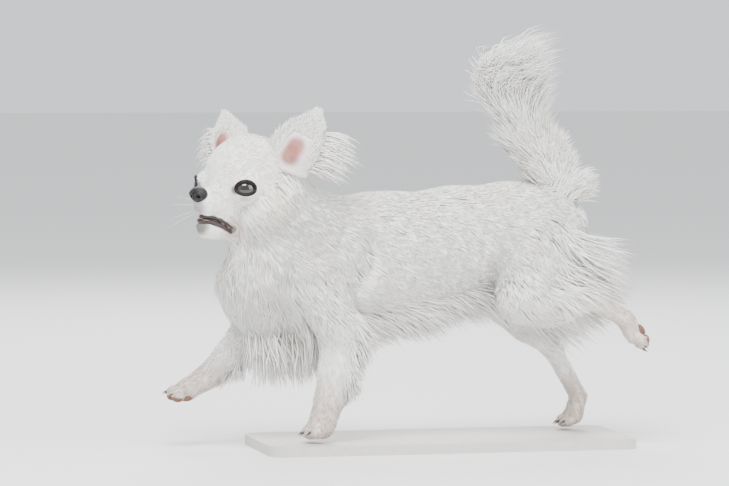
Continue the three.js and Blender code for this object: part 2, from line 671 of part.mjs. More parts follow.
grownFlesh.ear_left = earSolid(1, GAP);
grownFlesh.ear_right = earSolid(-1, GAP);
grownFlesh.tail = wrap(tailField, tailAxis, 10, 10, GAP);


Object.entries(coats).forEach(([name, regions]) => {
  const locks = regions.flatMap((region) => locksOver({ name, field: fields[name], axis: axes[name], ...region }));
  pieces[name][0] = largest(wasm.Manifold.union([pieces[name][0], ...locks]));
});
pieces.ear_left[0] = largest(wasm.Manifold.union([pieces.ear_left[0], ...earLocks(1)]));
pieces.ear_right[0] = largest(wasm.Manifold.union([pieces.ear_right[0], ...earLocks(-1)]));

Object.entries(pieces).forEach(([name, [solid, material]]) => dog.add(namedMesh(name, solid, material)));

function displayBase() {
  const outline = new THREE.Shape();
  const x = BASE.length / 2 - BASE.corner;
  const y = BASE.width / 2 - BASE.corner;
  [[x, y, 0], [-x, y, 90], [-x, -y, 180], [x, -y, 270]].forEach(([cx, cy, start]) => {
    outline.absarc(cx, cy, BASE.corner, (start * Math.PI) / 180, ((start + 90) * Math.PI) / 180);
  });
  const plate = new THREE.ExtrudeGeometry(outline, { depth: BASE.thick, bevelEnabled: false, curveSegments: 5 });
  const mesh = new THREE.Mesh(plate, baseMaterial());
  mesh.name = "stand_base";
  return mesh;
}

const chihuahua = new THREE.Group();
chihuahua.add(dog, displayBase());

export default chihuahua;
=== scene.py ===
import math

import bmesh
import bpy
import numpy as np
from mathutils import Matrix, Vector


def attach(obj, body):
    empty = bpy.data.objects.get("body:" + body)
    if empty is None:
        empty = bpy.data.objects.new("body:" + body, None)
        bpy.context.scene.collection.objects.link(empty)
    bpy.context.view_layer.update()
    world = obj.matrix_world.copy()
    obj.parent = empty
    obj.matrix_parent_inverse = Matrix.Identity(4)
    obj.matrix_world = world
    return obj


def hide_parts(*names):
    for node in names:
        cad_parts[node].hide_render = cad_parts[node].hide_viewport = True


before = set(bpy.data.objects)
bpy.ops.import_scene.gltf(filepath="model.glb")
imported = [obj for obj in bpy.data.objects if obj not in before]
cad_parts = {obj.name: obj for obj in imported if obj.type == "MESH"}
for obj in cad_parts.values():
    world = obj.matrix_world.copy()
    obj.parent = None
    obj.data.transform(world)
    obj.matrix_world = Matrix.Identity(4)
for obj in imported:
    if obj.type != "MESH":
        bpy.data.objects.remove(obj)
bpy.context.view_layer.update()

# Display base: a flat plate under the two paws that are down.
# It is one board cut to shape, sanded and sprayed in a plain warm grey.


class Socket:
    """One output of a shader node, so that maths on it reads as an expression."""

    def __init__(self, tree, link):
        self.tree = tree
        self.link = link

    def node(self, kind, settings=None, **values):
        """Adds a node: settings first, then its sockets, by name or by number as i0, i1 and so on."""
        made = self.tree.nodes.new("ShaderNode" + kind)
        for key, value in (settings or {}).items():
            setattr(made, key, value)
        names = [socket.name.replace(" ", "_") for socket in made.inputs]
        for key, value in values.items():
            numbered = key[0] == "i" and key[1:].isdigit()
            socket = made.inputs[int(key[1:]) if numbered else names.index(key)]
            if isinstance(value, Socket):
                self.tree.links.new(value.link, socket)
            else:
                socket.default_value = value
        return made

    def out(self, made, number=0):
        return Socket(self.tree, made.outputs[number])

    def maths(self, operation, a, b):
        return self.out(self.node("Math", {"operation": operation}, i0=a, i1=b))

    def __add__(self, other):
        return self.maths("ADD", self, other)

    def __radd__(self, other):
        return self.maths("ADD", other, self)

    def __sub__(self, other):
        return self.maths("SUBTRACT", self, other)

    def __rsub__(self, other):
        return self.maths("SUBTRACT", other, self)

    def __mul__(self, other):
        return self.maths("MULTIPLY", self, other)

    def __rmul__(self, other):
        return self.maths("MULTIPLY", other, self)

    def ramp(self, low, high):
        """Runs smoothly from 0 at the low value to 1 at the high one."""
        eased = {"interpolation_type": "SMOOTHSTEP"}
        return self.out(self.node("MapRange", eased, Value=self, From_Min=low, From_Max=high))

    def tint(self, first, second):
        """Colour that runs from first, where this is 0, to second, where it is 1."""
        made = self.node("Mix", {"data_type": "RGBA"}, i0=self, i6=first, i7=second)
        return self.out(made, 2)


class Finish:
    """A material with its principled shader, starting from the object's own coordinates."""

    def __init__(self, name, **constants):
        self.material = bpy.data.materials.new(name)
        self.material.use_nodes = True
        self.tree = self.material.node_tree
        self.shader = self.tree.nodes["Principled BSDF"]
        for key, value in constants.items():
            self.shader.inputs[key.replace("_", " ")].default_value = value
        start = self.tree.nodes.new("ShaderNodeTexCoord")
        self.place = Socket(self.tree, start.outputs["Object"])

    def noise(self, scale, detail=3.0, stretch=None):
        where = self.place
        if stretch:
            where = where.out(where.node("VectorMath", {"operation": "MULTIPLY"}, i0=where, i1=stretch))
        return where.out(where.node("TexNoise", Vector=where, Scale=scale, Detail=detail))

    def near(self, point, radius):
        """1 round a point of the object, falling to 0 at the radius."""
        away = self.place.node("VectorMath", {"operation": "DISTANCE"}, i0=self.place, i1=point)
        return 1 - self.place.out(away, 1).ramp(0.35 * radius, radius)

    def attribute(self, name):
        made = self.tree.nodes.new("ShaderNodeAttribute")
        made.attribute_name = name
        return Socket(self.tree, made.outputs["Fac"])

    def feed(self, **links):
        for key, value in links.items():
            self.tree.links.new(value.link, self.shader.inputs[key.replace("_", " ")])
        return self

    def bump(self, height, distance, strength=1.0):
        made = height.node("Bump", Height=height, Distance=distance, Strength=strength)
        self.tree.links.new(made.outputs[0], self.shader.inputs["Normal"])
        return self


PAINT_DARK = (0.56, 0.54, 0.5, 1)
PAINT_PALE = (0.6, 0.58, 0.545, 1)
paint = Finish("base_paint", Roughness=0.5)
board = paint.noise(220.0, 4.0)
paint.feed(Base_Color=board.ramp(0.3, 0.7).tint(PAINT_DARK, PAINT_PALE))
paint.feed(Roughness=0.42 + 0.16 * paint.noise(60.0)).bump(board, 0.0002, 0.35)
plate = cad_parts["stand_base"]
plate.data.materials.clear()
plate.data.materials.append(paint.material)

# Body: flesh and skin of the dog from the neck to the paws and the tail, under its long coat.
# One skin lies over round masses that run softly together. It is thinner than the outline by the
# depth of the hair. Its zero height, BASE_TOP, is the board's top and a hair's breadth over it.

MM = 0.001
BASE_TOP = 0.00835
BODY_VOXEL = 2.4
HEAD_AT = np.array([-158.0, -6.0, 208.5])
HEAD_TURN = dict(yaw=34.0, pitch=6.0, roll=3.0)


def turn_of(yaw, pitch, roll):
    """Axes of the head as columns: forward, left and up, turned by angles in degrees."""
    turn = Matrix.Rotation(math.radians(180 + yaw), 3, "Z")
    turn = turn @ Matrix.Rotation(math.radians(-pitch), 3, "Y")
    return np.array(turn @ Matrix.Rotation(math.radians(-roll), 3, "X"))


HEAD_AXES = turn_of(**HEAD_TURN)


def on_head(points):
    """Points given forward, left and up from the middle of the skull, in the dog's own millimetres."""
    return np.atleast_2d(np.asarray(points, float)) @ HEAD_AXES.T + HEAD_AT


def toward(vector):
    """A direction given forward, left and up on the head, in the dog's own frame."""
    return np.asarray(vector, float) @ HEAD_AXES.T


def mass(a, b, ra, rb, flat=1.0):
    """A round mass from a to b with a radius at each end, its width across the dog scaled by flat."""
    return np.asarray(a, float), np.asarray(b, float), ra, rb, flat


def head_mass(a, b, ra, rb):
    """A round mass whose ends are given forward, left and up on the head."""
    return mass(on_head(a)[0], on_head(b)[0], ra, rb)


def chain(points, thin=0.0, flat=1.0):
    """Masses from each point to the next: x back, y right, z up and radius, made thinner all along."""
    return [mass(p[:3], q[:3], p[3] - thin, q[3] - thin, flat) for p, q in zip(points, points[1:])]


TRUNK = [
    (-144, 0, 124, 34), (-96, 0, 138, 47), (-46, 0, 147, 48),
    (12, 0, 156, 43), (62, 0, 161, 42), (92, 0, 168, 32),
]
TRUNK_FLAT = 0.8
LEGS = dict(
    front_left=[
        (-86, -26, 148, 22), (-110, -32, 126, 22), (-90, -36, 88, 18.5),
        (-93, -35, 58, 15), (-98, -33, 34, 12.3), (-104, -32, 14, 11.5),
    ],
    front_right=[
        (-96, 26, 148, 22), (-136, 31, 124, 21), (-146, 36, 92, 15.5),
        (-166, 36, 66, 12), (-185, 36, 47, 9.8), (-200, 36, 38, 9.5),
    ],
    hind_left=[
        (74, -18, 154, 29), (62, -32, 112, 22), (84, -37, 104, 16),
        (118, -36, 110, 9.4), (145, -36, 94, 7.4), (152, -36, 82, 8.2),
    ],
    hind_right=[
        (84, 18, 152, 29), (68, 32, 104, 20), (84, 36, 84, 14),
        (105, 36, 65, 9), (126, 33, 26, 7.2), (121, 31, 12, 8.6),
    ],
)
TOES = dict(
    front_left=dict(reach=(-1, 0, -0.12), across=(0, 1, 0), sole=(0, 0, -1), length=10, radius=5.6),
    front_right=dict(
        reach=(-0.95, 0, 0.12), across=(0.1, 1, 0.1), sole=(-0.35, -0.35, -0.87), length=10, radius=5.2,
    ),
    hind_left=dict(reach=(0.35, 0, -0.94), across=(0, 1, 0), sole=(0.94, 0, 0.3), length=9, radius=4.6),
    hind_right=dict(reach=(-1, 0, -0.15), across=(0, 1, 0), sole=(0, 0, -1), length=9, radius=4.8),
)
TOE_PLACES = (-1.5, -0.5, 0.5, 1.5)
OUTER_TOE = 0.62
TAIL = [
    (90, 0, 176, 20), (99, 0, 198, 17), (88, 0, 217, 14.5), (75, 0, 234, 13),
    (67, 0, 250, 12), (60, 0, 266, 10.5), (54, 0, 280, 8), (50, 0, 290, 6),
]
SKIN_DEPTH = dict(trunk=6.0, tail=4.5, leg=(4.5, 4.5, 3.2, 1.8, 1.2, 1.0), toe=0.6)


def toe_balls(name):
    """The four toes of one paw: place, forward, sideways and sole directions, and radius."""
    foot = TOES[name]
    reach = np.array(foot["reach"], float) / np.linalg.norm(foot["reach"])
    across = np.array(foot["across"], float) / np.linalg.norm(foot["across"])
    sole = np.array(foot["sole"], float) / np.linalg.norm(foot["sole"])
    root = np.array(LEGS[name][-1][:3], float)
    balls = []
    for place in TOE_PLACES:
        out = foot["length"] * (OUTER_TOE if abs(place) > 1 else 1.0)
        at = root + reach * out + across * place * foot["radius"] * 1.15 + sole * foot["radius"] * 0.75
        balls.append((at, reach, across, sole, foot["radius"]))
    return balls


groups = dict(
    trunk=chain(TRUNK, SKIN_DEPTH["trunk"], TRUNK_FLAT)
    + [mass((-86, side * 14, 166), (-60, side * 14, 170), 13, 13) for side in (-1, 1)],
    neck=[mass((-104, 0, 156), (-142, -4, 190), 34, 26), mass((-132, -3, 140), (-150, -6, 172), 26, 20)],
    head=[
        head_mass((0, 0, 2), (-5, 0, 2), 32.5, 31.5),
        head_mass((17, 0, 2), (20, 0, -4), 19.5, 16.5),
        head_mass((18, 0, -21), (43, 0, -22.5), 15.5, 10.6),
        head_mass((14, 0, -38), (39.5, 0, -42.5), 12, 8.0),
        head_mass((2, 17, -22), (-12, 21, -24), 16.5, 16),
        head_mass((2, -17, -22), (-12, -21, -24), 16.5, 16),
    ],
    tail=chain(TAIL, SKIN_DEPTH["tail"]),
)
for name, points in LEGS.items():
    groups[name] = chain([(*p[:3], p[3] - depth) for p, depth in zip(points, SKIN_DEPTH["leg"])])
    for at, _, _, sole, radius in toe_balls(name):
        bare_radius = radius - SKIN_DEPTH["toe"]
        groups[name].append(mass(at, at + sole * 0.01, bare_radius, bare_radius))
BLENDS = dict(trunk=16, neck=16, head=9, tail=6, **{name: 3.5 for name in LEGS})
NECK_JOIN = 14
LIMB_JOIN = 8


def distance(one, p):
    """How far points are from the surface of one mass, less than 0 inside it."""
    a, b, ra, rb, flat = one
    squeeze = np.array([1, 1 / flat, 1])
    q = (p - a) * squeeze
    d = (b - a) * squeeze
    t = np.clip(q @ d / max(d @ d, 1e-6), 0, 1)
    return np.linalg.norm(q - t[:, None] * d, axis=1) - (ra + (rb - ra) * t)


def soft_union(first, second, blend):
    """The lesser of two distances, rounded where they are within the blend of each other."""
    h = np.clip(0.5 + 0.5 * (second - first) / blend, 0, 1)
    return second * (1 - h) + first * h - blend * h * (1 - h)


def group_field(name, p):
    """Distance of points from the masses of one group."""
    d = np.full(len(p), 1e3)
    for one in groups[name]:
        d = soft_union(d, distance(one, p), BLENDS[name])
    return d


def body_field(p):
    """Distance of points from the skin of the whole dog."""
    d = soft_union(group_field("trunk", p), group_field("neck", p), NECK_JOIN)
    for name in ("head", "tail", *LEGS):
        d = soft_union(d, group_field(name, p), LIMB_JOIN)
    return d


def uphill(field, p, step=0.6):
    """A field's value at points, and the direction in which it grows."""
    here = field(p)
    slope = np.stack([field(p + step * axis) - here for axis in np.eye(3)], 1)
    return here, slope / np.maximum(np.linalg.norm(slope, axis=1, keepdims=True), 1e-9)


def mesh_object(name, verts, faces, material):
    """A smooth-shaded piece from its corners and faces."""
    mesh = bpy.data.meshes.new(name)
    mesh.from_pydata([tuple(v) for v in verts], [], [tuple(f) for f in faces])
    mesh.validate()
    mesh.update()
    mesh.shade_smooth()
    made = bpy.data.objects.new(name, mesh)
    bpy.context.scene.collection.objects.link(made)
    mesh.materials.append(material)
    return made


def coordinates(mesh):
    """The corners of a mesh, one row for each."""
    co = np.empty(len(mesh.vertices) * 3, np.float64)
    mesh.vertices.foreach_get("co", co)
    return co.reshape(-1, 3)


def skin_over(name, masses, field, voxel, material):
    """One closed skin: balls strung along the masses, made one, then drawn onto the field."""
    shape = bmesh.new()
    bmesh.ops.create_icosphere(shape, subdivisions=3, radius=1.0)
    ball_mesh = bpy.data.meshes.new("ball")
    shape.to_mesh(ball_mesh)
    shape.free()
    sphere = coordinates(ball_mesh)
    triangles = np.array([face.vertices[:] for face in ball_mesh.polygons])
    verts, faces, count = [], [], 0
    for a, b, ra, rb, flat in masses:
        steps = max(2, int(np.linalg.norm(b - a) / (0.35 * min(ra, rb))) + 2)
        for t in np.linspace(0, 1, steps):
            r = ra + (rb - ra) * t
            verts.append(sphere * [r, r * flat, r] + a + (b - a) * t)
            faces.append(triangles + count)
            count += len(sphere)
    made = mesh_object(name, np.concatenate(verts), np.concatenate(faces), material)
    remesh = made.modifiers.new("skin", "REMESH")
    remesh.mode = "VOXEL"
    remesh.voxel_size = voxel
    relax = made.modifiers.new("relax", "SMOOTH")
    relax.iterations = 6
    graph = bpy.context.evaluated_depsgraph_get()
    mesh = bpy.data.meshes.new_from_object(made.evaluated_get(graph))
    made.modifiers.clear()
    made.data = mesh
    co = coordinates(mesh)
    for _ in range(5):
        here, slope = uphill(field, co)
        co -= slope * np.clip(here, -3, 3)[:, None]
    mesh.vertices.foreach_set("co", co.ravel())
    mesh.update()
    mesh.shade_smooth()
    return made


def settle(made):
    """From the dog's millimetres to the frame's metres, and onto the body that it rides on."""
    co = coordinates(made.data) * MM + [0, 0, BASE_TOP]
    made.data.vertices.foreach_set("co", co.astype(np.float32).ravel())
    made.data.update()
    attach(made, "root")
    return made


def scene_point(p):
    """A point of the dog in the frame's metres."""
    return tuple(np.asarray(p, float).ravel() * MM + [0, 0, BASE_TOP])


def surface_of(made):
    """The corners and triangles of a mesh, still in millimetres, for hair to be rooted in."""
    made.data.calc_loop_triangles()
    corners = np.empty(len(made.data.loop_triangles) * 3, np.int32)
    made.data.loop_triangles.foreach_get("vertices", corners)
    return coordinates(made.data), corners.reshape(-1, 3)


def lip_point(f, l, z):
    """The point of the muzzle's surface straight out from its middle at this height."""
    out = np.array([f - 20.0, l, 0]) / math.hypot(f - 20, l)
    p = np.array([f, l, z], float)
    for _ in range(25):
        p = p - out * 0.7 * group_field("head", on_head(p))[0]
    return on_head(p)[0]


SKIN_WHITE = (0.92, 0.905, 0.875, 1)
SKIN_CREAM = (0.76, 0.68, 0.56, 1)
LEG_DUST = (0.62, 0.5, 0.43, 1)
LIP_STAIN = (0.4, 0.24, 0.15, 1)
LIP_BLACK = (0.035, 0.024, 0.022, 1)
MOUTH_SIDE = [(46, 8, -35.5), (39, 12, -37), (31, 15, -39.5), (23, 19, -42)]
MOUTH_ROUND = [(f, -l, z) for f, l, z in MOUTH_SIDE[::-1]] + [(50, 0, -35)] + MOUTH_SIDE
MOUTH = np.array([lip_point(*at) for at in MOUTH_ROUND])
FEET = [points[-1][:3] for points in LEGS.values()]
# Each mark has a place on the head, mirrored where it is off the middle, a radius in metres, a
# strength and a colour: chin, front of the lip, cheeks, corners of the eyes, and painted shade for
# the folds under the eyes.
MARKS = [
    ((48, 0, -41), 0.0115, 0.85, (0.05, 0.043, 0.043, 1)),
    ((53, 0, -27), 0.0105, 0.7, (0.22, 0.2, 0.21, 1)),
    ((0, 34, -22), 0.024, 0.5, (0.8, 0.71, 0.58, 1)),
    ((35, 20.5, -10.5), 0.0055, 0.85, (0.1, 0.065, 0.05, 1)),
    # Painted shade: the fold under each eye is coloured darker here, not shaped in the skin.
    ((29, 28, -18), 0.0068, 0.6, (0.5, 0.33, 0.27, 1)),
]


def coat_colour(finish, pale, shade):
    """Markings that skin and hair share: white, cream on the cheeks, black lips, dusty feet, and painted
    shade under the eyes.
    """
    colour = (finish.noise(28.0, 2.0).ramp(0.42, 0.7) * 0.3).tint(pale, shade)
    for at in (MOUTH[0], MOUTH[-1]):
        colour = (finish.near(scene_point(at), 0.014) * 0.5).tint(colour, LIP_STAIN)
    for (f, l, z), radius, strength, dye in MARKS:
        for side in (1, -1) if l else (1,):
            spot = scene_point(on_head((f, side * l, z)))
            colour = (finish.near(spot, radius) * strength).tint(colour, dye)
    for at in MOUTH:
        colour = (finish.near(scene_point(at), 0.0052) * 0.95).tint(colour, LIP_BLACK)
    for at in FEET:
        colour = (finish.near(scene_point(at), 0.046) * 0.75).tint(colour, LEG_DUST)
    return colour


hide = Finish("short_coat", Roughness=0.75)
hide_grain = hide.noise(900.0, 2.0, (0.35, 1.0, 0.5))
hide.feed(Base_Color=coat_colour(hide, SKIN_WHITE, SKIN_CREAM)).bump(hide_grain, 0.0006, 0.6)

body_masses = [one for name in groups if name != "head" for one in groups[name]]
body = skin_over("body_skin", body_masses, body_field, BODY_VOXEL, hide.material)
body_surface = surface_of(body)
settle(body)
legs_replaced = [f"{name}_{part}" for name in LEGS for part in ("leg", "paw")]
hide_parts("torso", "neck", "tail", *legs_replaced)

# Head: an apple-shaped skull with cheeks, a strong stop and a short muzzle, under short hair.
# Its skin is drawn in behind the lids and along the line of the mouth.

HEAD_VOXEL = 1.15
EYE_RADIUS = 9.4
EYES = {side: on_head((24.5, side * 22.0, -9.0))[0] for side in (1, -1)}
LID_WIDE = 7.7
LID_HIGH = 5.5
LID_THICK = 0.9
SOCKET_DEEP = 2.2
MOUTH_DEEP = 5.0
MOUTH_REACH = 3.4
THROAT = on_head((10, 0, -36))[0]
NAPE_JOIN = 12
LID_JOIN = 7


def head_field(p):
    """Distance of points from the skin of the head, with the lids swelling over the eyes."""
    d = soft_union(group_field("head", p), group_field("neck", p), NAPE_JOIN)
    for at in EYES.values():
        lid = np.linalg.norm(p - at, axis=1) - (EYE_RADIUS + LID_THICK)
        d = soft_union(d, lid, LID_JOIN)
    return d


def gaze_axes(side):
    """Outward, cornerwards and upward directions of one eye, in the dog's own frame."""
    gaze = toward((0.62, side * 0.78, 0.06))
    gaze /= np.linalg.norm(gaze)
    corner = toward((0.78, -side * 0.62, -0.1))
    corner -= gaze * (corner @ gaze)
    corner /= np.linalg.norm(corner)
    upward = np.cross(gaze, corner) * -side
    return gaze, corner, upward


def opening(side, p):
    """How far points are before one eye, and how far out on its oval opening, which ends at 1."""
    gaze, corner, upward = gaze_axes(side)
    q = p - EYES[side]
    return q @ gaze, np.sqrt((q @ corner / LID_WIDE) ** 2 + (q @ upward / LID_HIGH) ** 2)


def smooth_line(points, count):
    """A rounded line through points, evenly counted."""
    points = np.asarray(points, float)
    t = np.linspace(0, len(points) - 1, count)
    i = np.clip(t.astype(int), 0, len(points) - 2)
    u = (t - i)[:, None]
    before = points[np.maximum(i - 1, 0)]
    after = points[np.minimum(i + 2, len(points) - 1)]
    a, b = points[i], points[i + 1]
    square = (2 * before - 5 * a + 4 * b - after) * u**2
    return 0.5 * (2 * a + (b - before) * u + square + (3 * a - before - 3 * b + after) * u**3)


head_masses = list(groups["head"])
for at in EYES.values():
    head_masses.append(mass(at, at + 0.01, EYE_RADIUS + 1, EYE_RADIUS + 1))
head = skin_over("head_skin", head_masses, head_field, HEAD_VOXEL, hide.material)
co = coordinates(head.data)
for side, at in EYES.items():
    out, oval = opening(side, co)
    away = np.linalg.norm(co - at, axis=1, keepdims=True)
    sunk = (out > 0) & (oval < 1.0) & (away[:, 0] < EYE_RADIUS + 8)
    co[sunk] = (at + (co - at) / away * (EYE_RADIUS - SOCKET_DEEP))[sunk]
lip_line = smooth_line(MOUTH, 60)
gap = np.min(np.linalg.norm(co[:, None, :] - lip_line[None, :, :], axis=2), axis=1)
pull = np.clip(1 - gap / MOUTH_REACH, 0, 1)[:, None]
co += (THROAT - co) / np.linalg.norm(THROAT - co, axis=1, keepdims=True) * pull * MOUTH_DEEP
head.data.vertices.foreach_set("co", co.ravel())
head.data.update()
head_surface = surface_of(head)
settle(head)
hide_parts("head")

# Eyes: large, dark, wet balls, each set in its socket and held by a black rim of bare lid.
# The iris is deep brown, nearly as dark as the pupil.

RIM_PROUD = 0.55
RIM_THICK = 1.2
RIM_SWELL = 0.5
UPPER_RIM = 1.03
LOWER_RIM = 0.88
PUPIL = (0.003, 0.003, 0.005, 1)
PUPIL_RADIUS = 0.0062
IRIS_DARK = (0.02, 0.013, 0.01, 1)
IRIS_PALE = (0.045, 0.028, 0.02, 1)
eye_finish = Finish("eye", Roughness=0.07, Coat_Weight=1.0, Coat_Roughness=0.02)
iris = eye_finish.noise(900.0).tint(IRIS_DARK, IRIS_PALE)
for side, at in EYES.items():
    pupil = eye_finish.near(scene_point(at + gaze_axes(side)[0] * EYE_RADIUS), PUPIL_RADIUS)
    iris = pupil.tint(iris, PUPIL)
eye_finish.feed(Base_Color=iris)
rim_finish = Finish(
    "bare_black_skin", Base_Color=(0.008, 0.007, 0.007, 1), Roughness=0.5, Specular_IOR_Level=0.2,
)
rim_finish.bump(rim_finish.noise(1400.0, 2.0), 0.0003, 0.4)


def band(start, sides, turned=False):
    """Faces between a ring of points and the next one, facing the other way if turned."""
    quads = []
    for j in range(sides):
        a, b = start + j, start + sides + j
        c, d = start + sides + (j + 1) % sides, start + (j + 1) % sides
        quads.append((a, d, c, b) if turned else (a, b, c, d))
    return quads


def ball(name, at, axes, radii, material, rings=32, sides=48, dent=None):
    """A rounded solid about a point: axes are its across, upward and outward directions."""
    polar = np.linspace(0, math.pi, rings)[1:-1]
    around = np.linspace(0, 2 * math.pi, sides, endpoint=False)
    grid = [(0, 0, 1)]
    for a in polar:
        grid += [(math.sin(a) * math.cos(b), math.sin(a) * math.sin(b), math.cos(a)) for b in around]
    grid = np.array([*grid, (0, 0, -1)])
    shaped = grid * radii
    if dent:
        shaped = dent(grid, shaped)
    faces = [(0, 1 + j, 1 + (j + 1) % sides) for j in range(sides)]
    for i in range(rings - 3):
        faces += band(1 + i * sides, sides)
    last = 1 + (rings - 3) * sides
    faces += [(last + (j + 1) % sides, last + j, len(grid) - 1) for j in range(sides)]
    return settle(mesh_object(name, shaped @ np.array(axes) + at, faces, material))


def tube(name, points, radii, material, sides=10):
    """A closed tube along points, with a radius at each."""
    points = np.asarray(points, float)
    radii = np.broadcast_to(radii, len(points))
    ahead = np.gradient(points, axis=0)
    ahead /= np.linalg.norm(ahead, axis=1, keepdims=True)
    side = np.cross(ahead[0], (0.3, 0.2, 1.0))
    turns = np.linspace(0, 2 * math.pi, sides, endpoint=False)
    rings = []
    for p, a, r in zip(points, ahead, radii):
        side = side - a * (side @ a)
        side /= np.linalg.norm(side)
        up = np.cross(a, side)
        rings.append(p + r * (np.cos(turns)[:, None] * side + np.sin(turns)[:, None] * up))
    verts = np.concatenate([points[:1], *rings, points[-1:]])
    faces = [(0, 1 + (j + 1) % sides, 1 + j) for j in range(sides)]
    for i in range(len(points) - 1):
        faces += band(1 + i * sides, sides, turned=True)
    last = 1 + (len(points) - 1) * sides
    faces += [(last + j, last + (j + 1) % sides, len(verts) - 1) for j in range(sides)]
    return settle(mesh_object(name, verts, faces, material))


SIDE_NAMES = {1: "left", -1: "right"}
for side, at in EYES.items():
    word = SIDE_NAMES[side]
    gaze, corner, upward = gaze_axes(side)
    eye = ball(f"eyeball_{word}", at, [corner, upward, gaze], [EYE_RADIUS] * 3, eye_finish.material)
    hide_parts(f"eye_{word}")
    turn = np.linspace(0, 2 * math.pi, 61)
    across = LID_WIDE * UPPER_RIM * np.cos(turn)
    rise = LID_HIGH * np.where(turn < math.pi, UPPER_RIM, LOWER_RIM) * np.sin(turn)
    out = np.sqrt((EYE_RADIUS + RIM_PROUD) ** 2 - across**2 - rise**2)
    rim = at + across[:, None] * corner + rise[:, None] * upward + out[:, None] * gaze
    thick = RIM_THICK + RIM_SWELL * np.clip(np.sin(turn), 0, 1)
    tube(f"lid_rim_{word}", rim, thick, rim_finish.material)

# Nose: a pad of bare, pebbled black leather on the end of the muzzle.
# It has two comma-shaped nostrils and a groove down the middle.

NOSE_AT = on_head((52.5, 0, -17))[0]
NOSE_HALF = [8.2, 6.4, 6.3]
NOSTRIL_DEEP = 3.4
NOSE_PALE = (0.026, 0.024, 0.027, 1)
NOSE_DARK = (0.008, 0.007, 0.008, 1)
nose_finish = Finish("nose_leather", Roughness=0.45, Specular_IOR_Level=0.3)
nose_place = nose_finish.place
pebbles = nose_place.out(nose_place.node("TexVoronoi", Vector=nose_place, Scale=900.0))
nose_finish.feed(Base_Color=pebbles.ramp(0.0, 0.7).tint(NOSE_PALE, NOSE_DARK))
nose_finish.bump(1 - pebbles, 0.0004, 0.7)


def nose_dents(grid, shaped):
    """Sinks the nostrils and the groove, swells the wings beside them and narrows the nose below."""
    across, up, out = grid.T
    shaped = shaped.copy()
    for side in (-1, 1):
        hole = np.exp(-(((across - side * 0.48) / 0.2) ** 2 + ((up + 0.12) / 0.17) ** 2)) * (out > 0)
        wing = np.exp(-(((across - side * 0.66) / 0.22) ** 2 + ((up - 0.12) / 0.3) ** 2)) * (out > 0)
        shaped[:, 2] += 0.9 * wing - NOSTRIL_DEEP * hole
    shaped[:, 2] -= 0.9 * np.exp(-((across / 0.09) ** 2)) * (up < 0.25) * (out > 0)
    shaped[:, 0] *= 1 - 0.22 * np.clip(-up, 0, 1)
    return shaped


nose_axes = [toward((0, 1, 0)), toward((0.18, 0, 0.98)), toward((0.98, 0, -0.18))]
nose = ball("nose_pad", NOSE_AT, nose_axes, NOSE_HALF, nose_finish.material, 64, 96, nose_dents)
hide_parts("nose")

# Mouth: dark moist lips that follow the muzzle round, slightly parted.
# The edge of the tongue lies between them.

LIPS = (("upper", 1.6, 1.35), ("lower", -2.5, 2.3))
LIP_DARK = (0.012, 0.009, 0.009, 1)
LIP_PALE = (0.04, 0.022, 0.018, 1)
lip_finish = Finish("lips", Roughness=0.35)
lip_finish.feed(Base_Color=lip_finish.noise(300.0).ramp(0.35, 0.65).tint(LIP_DARK, LIP_PALE))
lip_finish.bump(lip_finish.noise(900.0), 0.0003, 0.5)
lip_taper = np.sin(np.linspace(0.12, math.pi - 0.12, len(lip_line)))
for word, lift, thick in LIPS:
    path = lip_line + toward((0, 0, lift))
    for _ in range(4):
        value, slope = uphill(head_field, path)
        path = path - slope * (value + 0.05 * thick)[:, None]
    for _ in range(5):
        path[1:-1] = (path[:-2] + 2 * path[1:-1] + path[2:]) / 4
    tube(f"lip_{word}", path, thick * (0.4 + 0.6 * lip_taper**2), lip_finish.material)

TONGUE_AT = on_head((34, 0, -35.6))[0]
TONGUE_HALF = [6.0, 1.6, 13.5]
TONGUE_PALE = (0.62, 0.3, 0.28, 1)
TONGUE_DARK = (0.5, 0.2, 0.19, 1)
tongue_finish = Finish("tongue", Roughness=0.3)
tongue_finish.feed(Base_Color=tongue_finish.noise(400.0).tint(TONGUE_PALE, TONGUE_DARK))
tongue_axes = [toward((0, 1, 0)), toward((0, 0, 1)), toward((1, 0, 0))]
tongue = ball("tongue", TONGUE_AT, tongue_axes, TONGUE_HALF, tongue_finish.material, 24, 40)

# Whiskers: four stiff white bristles on each side of the muzzle.
# Each is rooted in the upper lip and droops a little towards its fine end.

WHISKER_LONG = 21
WHISKER_DROOP = 4.0
WHISKER_THICK = (0.22, 0.05)
WHISKER_SIDE = 9.5
WHISKER_ROOTS = ((40, -26, 0.1), (37, -29, -0.25), (41, -31, -0.55), (35, -24, 0.35))
WHISKER_AIM = {1: (-0.35, 0.7, 0.3), -1: (0.75, -0.85, 0.0)}
whisker_finish = Finish("whiskers", Base_Color=(0.85, 0.83, 0.78, 1), Roughness=0.4)
for side, (f, l, z) in WHISKER_AIM.items():
    for number, (root_f, root_z, turn) in enumerate(WHISKER_ROOTS):
        s = np.linspace(0, 1, 9)[:, None]
        hair = on_head((root_f, side * WHISKER_SIDE, root_z)) + toward((f, l, z + turn)) * WHISKER_LONG * s
        hair -= np.array([0, 0, WHISKER_DROOP]) * s**2
        radii = np.linspace(*WHISKER_THICK, 9)
        tube(f"whisker_{number}_{side > 0}", hair, radii, whisker_finish.material, 5)

# Ears: large thin cupped leaves of gristle and skin, standing up from the back of the skull.
# They are white outside, with a dusty pink hollow inside.

